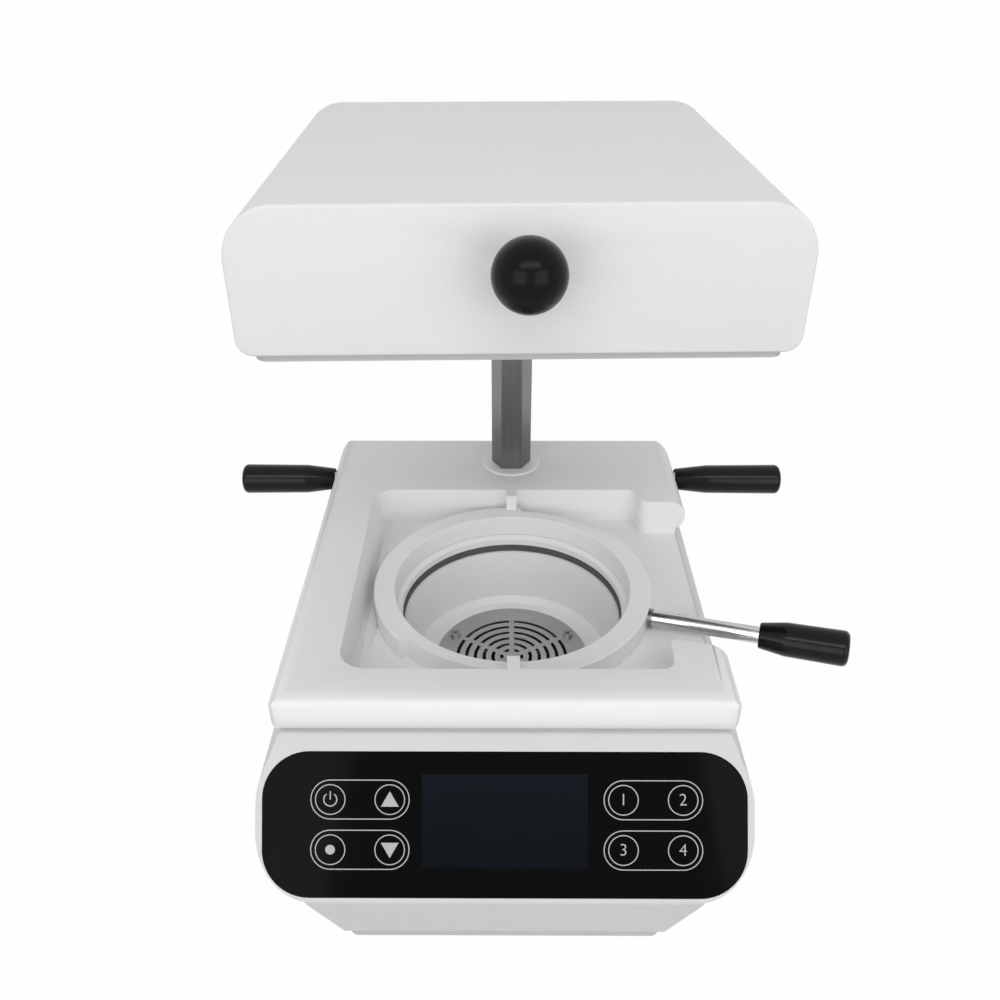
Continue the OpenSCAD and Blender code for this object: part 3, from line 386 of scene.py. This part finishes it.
FINISH = {
    shaded_base_white_abs: ["base_shell"],
    carriage_white_abs: ["carriage_shell"],
    textured_white_coat: ["head_shell"],
    polished_white_abs: ["model_pot", "film_seat", "clamp_ring", "post_bush"],
    back_printed_glass: ["front_glass"],
    display_cell: ["display_module"],
    green_board: ["touch_board", "power_board"],
    drawn_stainless_dark_reflection: ["hex_post", "lever_sleeve"],
    brushed_stainless: ["grille_plate"],
    turned_chrome: ["lever_rod", "handle_studs", "knob_stud"],
    zinc_plate: ["floor_screws", "foot_screws", "grille_screws", "socket_screws", "carriage_screws",
                 "pad_screw", "head_screws", "retaining_washer", "retaining_screw"],
    spun_aluminium: ["reflector", "heat_shield", "fan_impeller"],
    cast_aluminium: ["fan_housing", "motor_can", "post_socket", "head_hub"],
    grey_coated_sheet: ["base_floor", "carriage_plate", "head_plate"],
    lacquered_black_ball: ["ball_knob"],
    glossy_black_grip: ["left_grip", "right_grip", "lever_grip"],
    matt_black_plastic: ["power_inlet", "switch_frame", "power_rocker"],
    silicone_grey: ["pot_seal", "ring_gasket"],
    black_rubber: ["feet", "motor_gasket", "motor_mounts"],
    natural_nylon: ["thrust_washer", "friction_pad"],
    sintered_bronze: ["hub_bush"],
    pressed_steatite: ["heater_supports", "terminal_block"],
    scaled_heater_sheath: ["heater_element"],
}
_made = {}


def finish_of(maker):
    """The material of one finish, made once."""
    if maker not in _made:
        _made[maker] = maker()
    return _made[maker]


def coat(obj, maker):
    obj.data.materials.clear()
    obj.data.materials.append(finish_of(maker))


# Mesh helpers

def new_object(name, bm, maker, body, smooth=None):
    """Makes an object at the origin from a bmesh, coats it and lets it ride on a body."""
    mesh = bpy.data.meshes.new(name)
    bm.to_mesh(mesh)
    bm.free()
    return link_mesh(name, mesh, maker, body, smooth)


def link_mesh(name, mesh, maker, body, smooth=None):
    obj = bpy.data.objects.new(name, mesh)
    bpy.context.scene.collection.objects.link(obj)
    coat(obj, maker)
    if smooth is not None:
        mesh.shade_smooth()
        mesh.set_sharp_from_angle(angle=math.radians(smooth))
    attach(obj, body)
    return obj


def merged_copy(node):
    """A bmesh of a CAD node with its loose triangles joined into flat faces."""
    bm = bmesh.new()
    bm.from_mesh(NODES[node].data)
    bmesh.ops.remove_doubles(bm, verts=bm.verts, dist=2e-6)
    bmesh.ops.dissolve_limit(bm, angle_limit=math.radians(0.6), verts=bm.verts, edges=bm.edges)
    return bm


def round_edges(bm, chosen, radius, steps=4):
    """Rounds the sharp edges that chosen(edge) accepts."""
    edges = [e for e in bm.edges
             if len(e.link_faces) == 2 and e.calc_face_angle(0) > math.radians(35) and chosen(e)]
    bmesh.ops.bevel(bm, geom=edges, offset=radius, segments=steps, profile=0.5,
                    affect="EDGES", clamp_overlap=True)
    return len(edges)


def softened(node, name, chosen, radius, maker, steps=4):
    """Replaces a CAD node by a copy whose chosen edges are rounded."""
    bm = merged_copy(node)
    count = round_edges(bm, chosen, radius, steps)
    if not count:
        raise RuntimeError(f"{node}: no edge to round")
    obj = new_object(name, bm, maker, NODES[node]["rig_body"], smooth=28)
    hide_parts(node)
    return obj


def slope_frame(sizes):
    """Places X along the width, Y up the sloped panel and Z out of the glass, at the glass centre."""
    low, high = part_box("front_glass")
    lean = Matrix.Rotation(sizes.panel_lean, 4, "X")
    out = lean @ Vector((0, 0, sizes.glass_thickness / 2))
    return Matrix.Translation((low + high) / 2 + out) @ lean


def apply_nodes(carrier, name, tree, inputs, maker, body):
    """Runs a geometry node tree on a carrier mesh and keeps the result as one plain mesh."""
    modifier = carrier.modifiers.new(name, "NODES")
    modifier.node_group = tree
    by_name = {i.name: i.identifier for i in tree.interface.items_tree
               if i.item_type == "SOCKET" and i.in_out == "INPUT"}
    for key, value in inputs.items():
        modifier[by_name[key]] = value
    seen = carrier.evaluated_get(bpy.context.evaluated_depsgraph_get())
    mesh = bpy.data.meshes.new_from_object(seen)
    carrier.modifiers.remove(modifier)
    bpy.data.objects.remove(carrier)
    if not len(mesh.polygons):
        raise RuntimeError(f"{name}: the node tree gave no faces")
    mesh.name = name
    return link_mesh(name, mesh, maker, body, smooth=30)


def point_carrier(name, points):
    """A mesh of loose points for a node tree to set copies on."""
    mesh = bpy.data.meshes.new(name)
    mesh.from_pydata(points, [], [])
    obj = bpy.data.objects.new(name, mesh)
    bpy.context.scene.collection.objects.link(obj)
    return obj


def node_tree(name, sockets):
    """A geometry node tree with named inputs."""
    tree = bpy.data.node_groups.new(name, "GeometryNodeTree")
    tree.interface.new_socket("Geometry", in_out="INPUT", socket_type="NodeSocketGeometry")
    for label, kind, default in sockets:
        s = tree.interface.new_socket(label, in_out="INPUT", socket_type=kind)
        if default is not None:
            s.default_value = default
    tree.interface.new_socket("Geometry", in_out="OUTPUT", socket_type="NodeSocketGeometry")
    return tree, add(tree, "NodeGroupInput")


def close_tree(tree, geometry, maker):
    """Ends a tree in Realize Instances and Set Material."""
    real = add(tree, "GeometryNodeRealizeInstances", inputs={"Geometry": geometry})
    done = add(tree, "GeometryNodeSetMaterial",
               inputs={"Geometry": real.outputs[0], "Material": finish_of(maker)})
    add(tree, "NodeGroupOutput", inputs={"Geometry": done.outputs[0]})


def outline_tree():
    """A rounded outline, as a flat printed line, on each point of the carrier."""
    tree, given = node_tree("printed_outline", [
        ("Width", "NodeSocketFloat", 0.04), ("Height", "NodeSocketFloat", 0.016),
        ("Corner", "NodeSocketFloat", 0.008), ("Line", "NodeSocketFloat", 0.0004),
        ("Film", "NodeSocketFloat", FILM), ("Turn", "NodeSocketRotation", None),
    ])
    g = given.outputs
    box = add(tree, "GeometryNodeCurvePrimitiveQuadrilateral",
              inputs={"Width": g["Width"], "Height": g["Height"]})
    soft = add(tree, "GeometryNodeFilletCurve", {"mode": "POLY"},
               {"Curve": box.outputs[0], "Count": 14, "Radius": g["Corner"]})
    strip = add(tree, "GeometryNodeCurvePrimitiveQuadrilateral",
                inputs={"Width": g["Line"], "Height": g["Film"]})
    line = add(tree, "GeometryNodeCurveToMesh",
               inputs={"Curve": soft.outputs[0], "Profile Curve": strip.outputs[0]})
    copies = add(tree, "GeometryNodeInstanceOnPoints",
                 inputs={"Points": g["Geometry"], "Instance": line.outputs[0], "Rotation": g["Turn"]})
    close_tree(tree, copies.outputs[0], printed_grey_ink)
    return tree


def capacitor_tree():
    """Upright round components of varied height on each point of the carrier."""
    tree, given = node_tree("board_parts", [
        ("Radius", "NodeSocketFloat", 0.002), ("Height", "NodeSocketFloat", 0.006),
        ("Variation", "NodeSocketFloat", 0.4), ("Seed", "NodeSocketInt", 7),
    ])
    g = given.outputs
    can = add(tree, "GeometryNodeMeshCylinder",
              inputs={"Vertices": 20, "Radius": g["Radius"], "Depth": g["Height"]})
    half = add(tree, "ShaderNodeMath", {"operation": "MULTIPLY"}, {0: g["Height"], 1: 0.5})
    lift = add(tree, "ShaderNodeCombineXYZ", inputs={"Z": half.outputs[0]})
    up = add(tree, "GeometryNodeTransform",
             inputs={"Geometry": can.outputs[0], "Translation": lift.outputs[0]})
    least = add(tree, "ShaderNodeMath", {"operation": "SUBTRACT"}, {0: 1.0, 1: g["Variation"]})
    size = add(tree, "FunctionNodeRandomValue", {"data_type": "FLOAT"}, {"Seed": g["Seed"]})
    # The float limits of a random value are its third and fourth inputs.
    tree.links.new(least.outputs[0], size.inputs[2])
    size.inputs[3].default_value = 1.0
    copies = add(tree, "GeometryNodeInstanceOnPoints",
                 inputs={"Points": g["Geometry"], "Instance": up.outputs[0], "Scale": size.outputs[1]})
    close_tree(tree, copies.outputs[0], matt_black_plastic)
    return tree


# Sizes and operators

class FormerSizes(bpy.types.PropertyGroup):
    """Sizes of the dressed pieces."""
    panel_lean: bpy.props.FloatProperty(
        name="Panel lean", description="Angle of the glass above the table",
        default=math.radians(56.65), subtype="ANGLE")
    glass_thickness: bpy.props.FloatProperty(
        name="Glass thickness", description="Thickness of the front glass", default=0.002, unit="LENGTH")
    key_x: bpy.props.FloatProperty(
        name="Key pair offset", description="Distance of each key pair from the middle", default=0.0605,
        unit="LENGTH")
    key_y: bpy.props.FloatProperty(
        name="Key row offset", description="Distance of each key row from the middle", default=0.0103,
        unit="LENGTH")
    pill_width: bpy.props.FloatProperty(
        name="Outline width", description="Width of an outline round two keys", default=0.0406,
        unit="LENGTH")
    pill_height: bpy.props.FloatProperty(
        name="Outline height", description="Height of an outline round two keys", default=0.0160,
        unit="LENGTH")
    key_radius: bpy.props.FloatProperty(
        name="Key radius", description="Radius of one key's circle", default=0.0061, unit="LENGTH")
    key_pitch: bpy.props.FloatProperty(
        name="Key pitch", description="Distance of a key from its pair's middle", default=0.0123,
        unit="LENGTH")
    line_width: bpy.props.FloatProperty(
        name="Line width", description="Width of the printed lines", default=0.00042, unit="LENGTH")
    key_shift: bpy.props.FloatProperty(
        name="Key shift", description="How far all the keys stand to the right of the glass's middle",
        default=0.0008, unit="LENGTH")
    window_width: bpy.props.FloatProperty(
        name="Window width", description="Width of the display window", default=0.0685, unit="LENGTH")
    window_height: bpy.props.FloatProperty(
        name="Window height", description="Height of the display window", default=0.0385, unit="LENGTH")
    window_rise: bpy.props.FloatProperty(
        name="Window rise", description="How far the display stands above the glass's middle",
        default=0.0015, unit="LENGTH")
    sign_line: bpy.props.FloatProperty(
        name="Sign line", description="Width of the standby sign's line", default=0.0005, unit="LENGTH")
    number_size: bpy.props.FloatProperty(
        name="Number size", description="Size of the numbers on the keys", default=0.0071, unit="LENGTH")
    head_turn: bpy.props.FloatProperty(
        name="Head turn", description="How far the head stands turned on the post",
        default=math.radians(1.3), subtype="ANGLE")
    shell_edge: bpy.props.FloatProperty(
        name="Head edge", description="Rounding of the head's front and rear edges", default=0.0012,
        unit="LENGTH")
    deck_edge: bpy.props.FloatProperty(
        name="Deck edge", description="Rounding of the edges on the carriage's deck", default=0.0011,
        unit="LENGTH")
    board_rise: bpy.props.FloatProperty(
        name="Board rise", description="Height of the power board's upper face above its box's lower end",
        default=0.0056, unit="LENGTH")


class FormerLight(bpy.types.PropertyGroup):
    """Light and floor of the picture."""
    ambient: bpy.props.FloatProperty(
        name="Ambient", description="Strength of the even light all round", default=0.52,
        subtype="FACTOR")
    front: bpy.props.FloatProperty(
        name="Front", description="Power of the two low lights in front", default=23.0,
        unit="POWER")
    top: bpy.props.FloatProperty(
        name="Top", description="Power of the soft light above the front", default=9.6, unit="POWER")
    floor_bounce: bpy.props.FloatProperty(
        name="Floor bounce", description="Share of its light that the floor throws back on to the object",
        default=0.5, subtype="FACTOR")
    floor_colour: bpy.props.FloatVectorProperty(
        name="Floor", description="Colour of the floor", subtype="COLOR", size=3, default=(0.95, 0.95, 0.95))


class FORMER_OT_housings(bpy.types.Operator):
    """Rounds the edges of the head and carriage housings"""
    bl_idname = "former.housings"
    bl_label = "Housings"

    def execute(self, context):
        sizes = context.scene.former_sizes
        turn = Matrix.Rotation(-sizes.head_turn, 3, "Z")
        ys = [(turn @ v.co).y for v in NODES["head_shell"].data.vertices]
        front, rear = min(ys), max(ys)

        def on_rim(e):
            a, b = [(turn @ v.co).y for v in e.verts]
            return abs(a - b) < 1e-4 and min(abs(a - front), abs(a - rear)) < 1e-4

        softened("head_shell", "head_housing", on_rim, sizes.shell_edge, textured_white_coat)

        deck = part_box("carriage_shell")[1].z

        def on_deck(e):
            return all(abs(v.co.z - deck) < 1e-4 for v in e.verts)

        softened("carriage_shell", "carriage_housing", on_deck, sizes.deck_edge, carriage_white_abs)
        return {"FINISHED"}


class FORMER_OT_panel(bpy.types.Operator):
    """Puts the display window, key outlines and signs on the glass"""
    bl_idname = "former.panel"
    bl_label = "Front panel"

    def execute(self, context):
        s = context.scene.former_sizes
        place = slope_frame(s)
        bm = bmesh.new()
        middle = place @ Matrix.Translation((0, s.window_rise, FILM / 2))
        bmesh.ops.create_cube(
            bm, size=1.0, matrix=middle @ Matrix.Diagonal((s.window_width, s.window_height, FILM, 1)))
        new_object("display_window", bm, display_cell, "base")

        place = place @ Matrix.Translation((s.key_shift, 0, 0))
        turn = place.to_euler()
        pairs = [(x, y) for x in (-s.key_x, s.key_x) for y in (-s.key_y, s.key_y)]
        pills = point_carrier("pills", [place @ Vector((x, y, FILM)) for x, y in pairs])
        tree = outline_tree()
        apply_nodes(pills, "key_pair_outlines", tree, {
            "Width": s.pill_width, "Height": s.pill_height, "Corner": s.pill_height / 2 - 1e-5,
            "Line": s.line_width, "Film": FILM, "Turn": turn}, printed_grey_ink, "base")
        rounds = point_carrier("rounds", [place @ Vector((x + k * s.key_pitch, y, FILM))
                                          for x, y in pairs for k in (-1, 1)])
        apply_nodes(rounds, "key_circles", tree, {
            "Width": 2 * s.key_radius, "Height": 2 * s.key_radius, "Corner": s.key_radius - 1e-5,
            "Line": s.line_width, "Film": FILM, "Turn": turn}, printed_grey_ink, "base")
        self.signs(s, place)
        self.numbers(s, place)
        return {"FINISHED"}

    def signs(self, s, place):
        """The standby sign, a dot and the two arrows of the left keys."""
        bm = bmesh.new()

        def plate(points):
            verts = [bm.verts.new(place @ Vector((x, y, FILM))) for x, y in points]
            bm.faces.new(verts)

        def arc(cx, cy, r, a0, a1, w, steps=28):
            for i in range(steps):
                p, q = (math.radians(a0 + (a1 - a0) * (i + k) / steps) for k in (0, 1))
                plate([(cx + (r + d) * math.cos(a), cy + (r + d) * math.sin(a))
                       for a, d in ((p, -w / 2), (p, w / 2), (q, w / 2), (q, -w / 2))])

        left, right = -s.key_x - s.key_pitch, -s.key_x + s.key_pitch
        w = s.sign_line
        ring, stem, dot = 0.0027, 0.0034, 0.002
        half_arrow, foot, tip = 0.0037, 0.0029, 0.0034
        arc(left, s.key_y, ring, 125, 415, w)
        plate([(left - w / 2, s.key_y), (left + w / 2, s.key_y),
               (left + w / 2, s.key_y + stem), (left - w / 2, s.key_y + stem)])
        arc(left, -s.key_y, dot / 2, 0, 360, dot)
        for sign, y in ((1, s.key_y), (-1, -s.key_y)):
            points = [(right - half_arrow, y - sign * foot), (right + half_arrow, y - sign * foot),
                      (right, y + sign * tip)]
            plate(points if sign > 0 else points[::-1])
        bmesh.ops.remove_doubles(bm, verts=bm.verts, dist=1e-7)
        new_object("key_signs", bm, printed_grey_ink, "base")

    def numbers(self, s, place):
        """Plain numbers on the right keys."""
        bm = bmesh.new()
        spots = [(s.key_x - s.key_pitch, s.key_y), (s.key_x + s.key_pitch, s.key_y),
                 (s.key_x - s.key_pitch, -s.key_y), (s.key_x + s.key_pitch, -s.key_y)]
        for i, (x, y) in enumerate(spots):
            text = bpy.data.curves.new("number", "FONT")
            text.body = str(i + 1)
            text.size = s.number_size
            # Drawn in a little, for a thinner stroke
            text.offset = -0.00008
            text.align_x = "CENTER"
            text.align_y = "CENTER"
            holder = bpy.data.objects.new("number", text)
            bpy.context.scene.collection.objects.link(holder)
            flat = bpy.data.meshes.new_from_object(
                holder.evaluated_get(bpy.context.evaluated_depsgraph_get()))
            flat.transform(place @ Matrix.Translation((x, y, FILM)))
            bm.from_mesh(flat)
            bpy.data.objects.remove(holder)
        new_object("key_numbers", bm, printed_grey_ink, "base")


class FORMER_OT_boards(bpy.types.Operator):
    """Stands small components on the power board"""
    bl_idname = "former.boards"
    bl_label = "Board parts"

    def execute(self, context):
        low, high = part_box("power_board")
        top = low.z + context.scene.former_sizes.board_rise
        points = [(low.x + 0.021 + 0.006 * i, high.y - 0.004 - 0.0045 * j, top)
                  for i in range(3) for j in range(2)]
        apply_nodes(point_carrier("capacitors", points), "board_capacitors", capacitor_tree(),
                    {"Radius": 0.0017, "Height": 0.006, "Variation": 0.35, "Seed": 7},
                    matt_black_plastic, "base")
        return {"FINISHED"}


class FORMER_OT_finishes(bpy.types.Operator):
    """Gives every CAD node its finish"""
    bl_idname = "former.finishes"
    bl_label = "Finishes"

    def execute(self, context):
        given = {n: maker for maker, names in FINISH.items() for n in names}
        missing = sorted(set(NODES) - set(given))
        if missing:
            raise RuntimeError(f"no finish for {missing}")
        for name, maker in given.items():
            coat(NODES[name], maker)
        return {"FINISHED"}


class FORMER_OT_stage(bpy.types.Operator):
    """Makes the floor, the light and the camera"""
    bl_idname = "former.stage"
    bl_label = "Stage"

    def execute(self, context):
        light = context.scene.former_light
        scene = context.scene
        scene.view_settings.view_transform = "Standard"
        bm = bmesh.new()
        bmesh.ops.create_grid(bm, x_segments=1, y_segments=1, size=12)
        mesh = bpy.data.meshes.new("floor")
        bm.to_mesh(mesh)
        bm.free()
        floor = bpy.data.objects.new("floor", mesh)
        scene.collection.objects.link(floor)
        mesh.materials.append(self.paper(light))
        self.world(light)
        lamps = {
            "top": ((0.0, -1.3, 1.75), (2.0, 0.5), light.top),
            "front_left": ((-1.1, -1.9, 0.62), (1.5, 1.5), light.front / 2),
            "front_right": ((1.2, -1.9, 0.62), (1.5, 1.5), light.front / 2),
        }
        for name, (spot, size, power) in lamps.items():
            self.lamp(name, spot, size, power)
        self.camera()
        return {"FINISHED"}

    def seen(self, t):
        """1 where the camera sees the background, straight on or in metal and glass."""
        path = add(t, "ShaderNodeLightPath").outputs
        mirrored = add(t, "ShaderNodeMath", {"operation": "MAXIMUM"},
                       {0: path["Is Glossy Ray"], 1: path["Is Transmission Ray"]})
        return add(t, "ShaderNodeMath", {"operation": "MAXIMUM"},
                   {0: path["Is Camera Ray"], 1: mirrored.outputs[0]}).outputs[0]

    def paper(self, light):
        """White paper that keeps a faint shadow under the feet."""
        m = bpy.data.materials.new("white_paper")
        m.use_nodes = True
        t = m.node_tree
        t.nodes.clear()
        seen = self.seen(t)
        bounce = add(t, "ShaderNodeMapRange",
                     inputs={"Value": seen, "To Min": light.floor_bounce, "To Max": 1.0})
        tone = add(t, "ShaderNodeVectorMath", {"operation": "SCALE"},
                   {0: tuple(light.floor_colour), "Scale": bounce.outputs[0]})
        plain = add(t, "ShaderNodeBsdfDiffuse", inputs={"Color": tone.outputs[0]})
        glow = add(t, "ShaderNodeEmission", inputs={"Color": (1, 1, 1, 1), "Strength": 1.0})
        most = add(t, "ShaderNodeMath", {"operation": "MULTIPLY"}, {0: seen, 1: 0.97})
        mix = add(t, "ShaderNodeMixShader",
                  inputs={0: most.outputs[0], 1: plain.outputs[0], 2: glow.outputs[0]})
        add(t, "ShaderNodeOutputMaterial", inputs={"Surface": mix.outputs[0]})
        return m

    def world(self, light):
        world = bpy.data.worlds.new("studio")
        bpy.context.scene.world = world
        world.use_nodes = True
        t = world.node_tree
        t.nodes.clear()
        level = add(t, "ShaderNodeMapRange",
                    inputs={"Value": self.seen(t), "To Min": light.ambient, "To Max": 1.0})
        sky = add(t, "ShaderNodeBackground", inputs={"Color": (1, 1, 1, 1), "Strength": level.outputs[0]})
        add(t, "ShaderNodeOutputWorld", inputs={"Surface": sky.outputs[0]})

    def lamp(self, name, spot, size, power):
        data = bpy.data.lights.new(name, "AREA")
        data.shape = "RECTANGLE"
        data.size, data.size_y = size
        data.energy = power
        obj = bpy.data.objects.new(name, data)
        obj.location = spot
        obj.rotation_euler = (Vector((0, 0, 0.15)) - Vector(spot)).to_track_quat("-Z", "Y").to_euler()
        bpy.context.scene.collection.objects.link(obj)

    def camera(self):
        """The photograph's viewpoint, a little above the head and looking down."""
        pitch, yaw, roll = math.radians(32.375), math.radians(-0.292), math.radians(-0.085)
        ahead = Vector((math.sin(yaw) * math.cos(pitch), math.cos(yaw) * math.cos(pitch), -math.sin(pitch)))
        across = Vector((math.cos(yaw), -math.sin(yaw), 0))
        up = across.cross(ahead)
        right = across * math.cos(roll) + up * math.sin(roll)
        top = up * math.cos(roll) - across * math.sin(roll)
        data = bpy.data.cameras.new("camera")
        data.sensor_width = 36
        focal, picture = 940.134, 1000
        data.lens = data.sensor_width * focal / picture
        data.clip_start = 0.02
        cam = bpy.data.objects.new("camera", data)
        spot = Vector((-0.00400, -0.36297, 0.39221))
        turn = Matrix((right, top, -ahead)).transposed().to_4x4()
        cam.matrix_world = Matrix.Translation(spot) @ turn
        bpy.context.scene.collection.objects.link(cam)
        bpy.context.scene.camera = cam


class FORMER_PT_panel(bpy.types.Panel):
    """Lists the steps that dress the vacuum former"""
    bl_idname = "FORMER_PT_panel"
    bl_label = "Vacuum former"
    bl_space_type = "VIEW_3D"
    bl_region_type = "UI"
    bl_category = "Vacuum former"

    def draw(self, context):
        for group in (context.scene.former_sizes, context.scene.former_light):
            box = self.layout.box()
            for key in group.bl_rna.properties.keys():
                if key not in {"rna_type", "name"}:
                    box.prop(group, key)
        for step in STEPS:
            self.layout.operator(step.bl_idname)


STEPS = (FORMER_OT_finishes, FORMER_OT_housings, FORMER_OT_panel, FORMER_OT_boards, FORMER_OT_stage)
CLASSES = (FormerSizes, FormerLight, *STEPS, FORMER_PT_panel)


def register():
    for c in CLASSES:
        bpy.utils.register_class(c)
    bpy.types.Scene.former_sizes = bpy.props.PointerProperty(type=FormerSizes)
    bpy.types.Scene.former_light = bpy.props.PointerProperty(type=FormerLight)


def unregister():
    del bpy.types.Scene.former_light
    del bpy.types.Scene.former_sizes
    for c in reversed(CLASSES):
        bpy.utils.unregister_class(c)


def main():
    register()
    bpy.ops.former.finishes()
    bpy.ops.former.housings()
    bpy.ops.former.panel()
    bpy.ops.former.boards()
    bpy.ops.former.stage()
    bpy.context.view_layer.update()


if __name__ == "__main__":
    main()
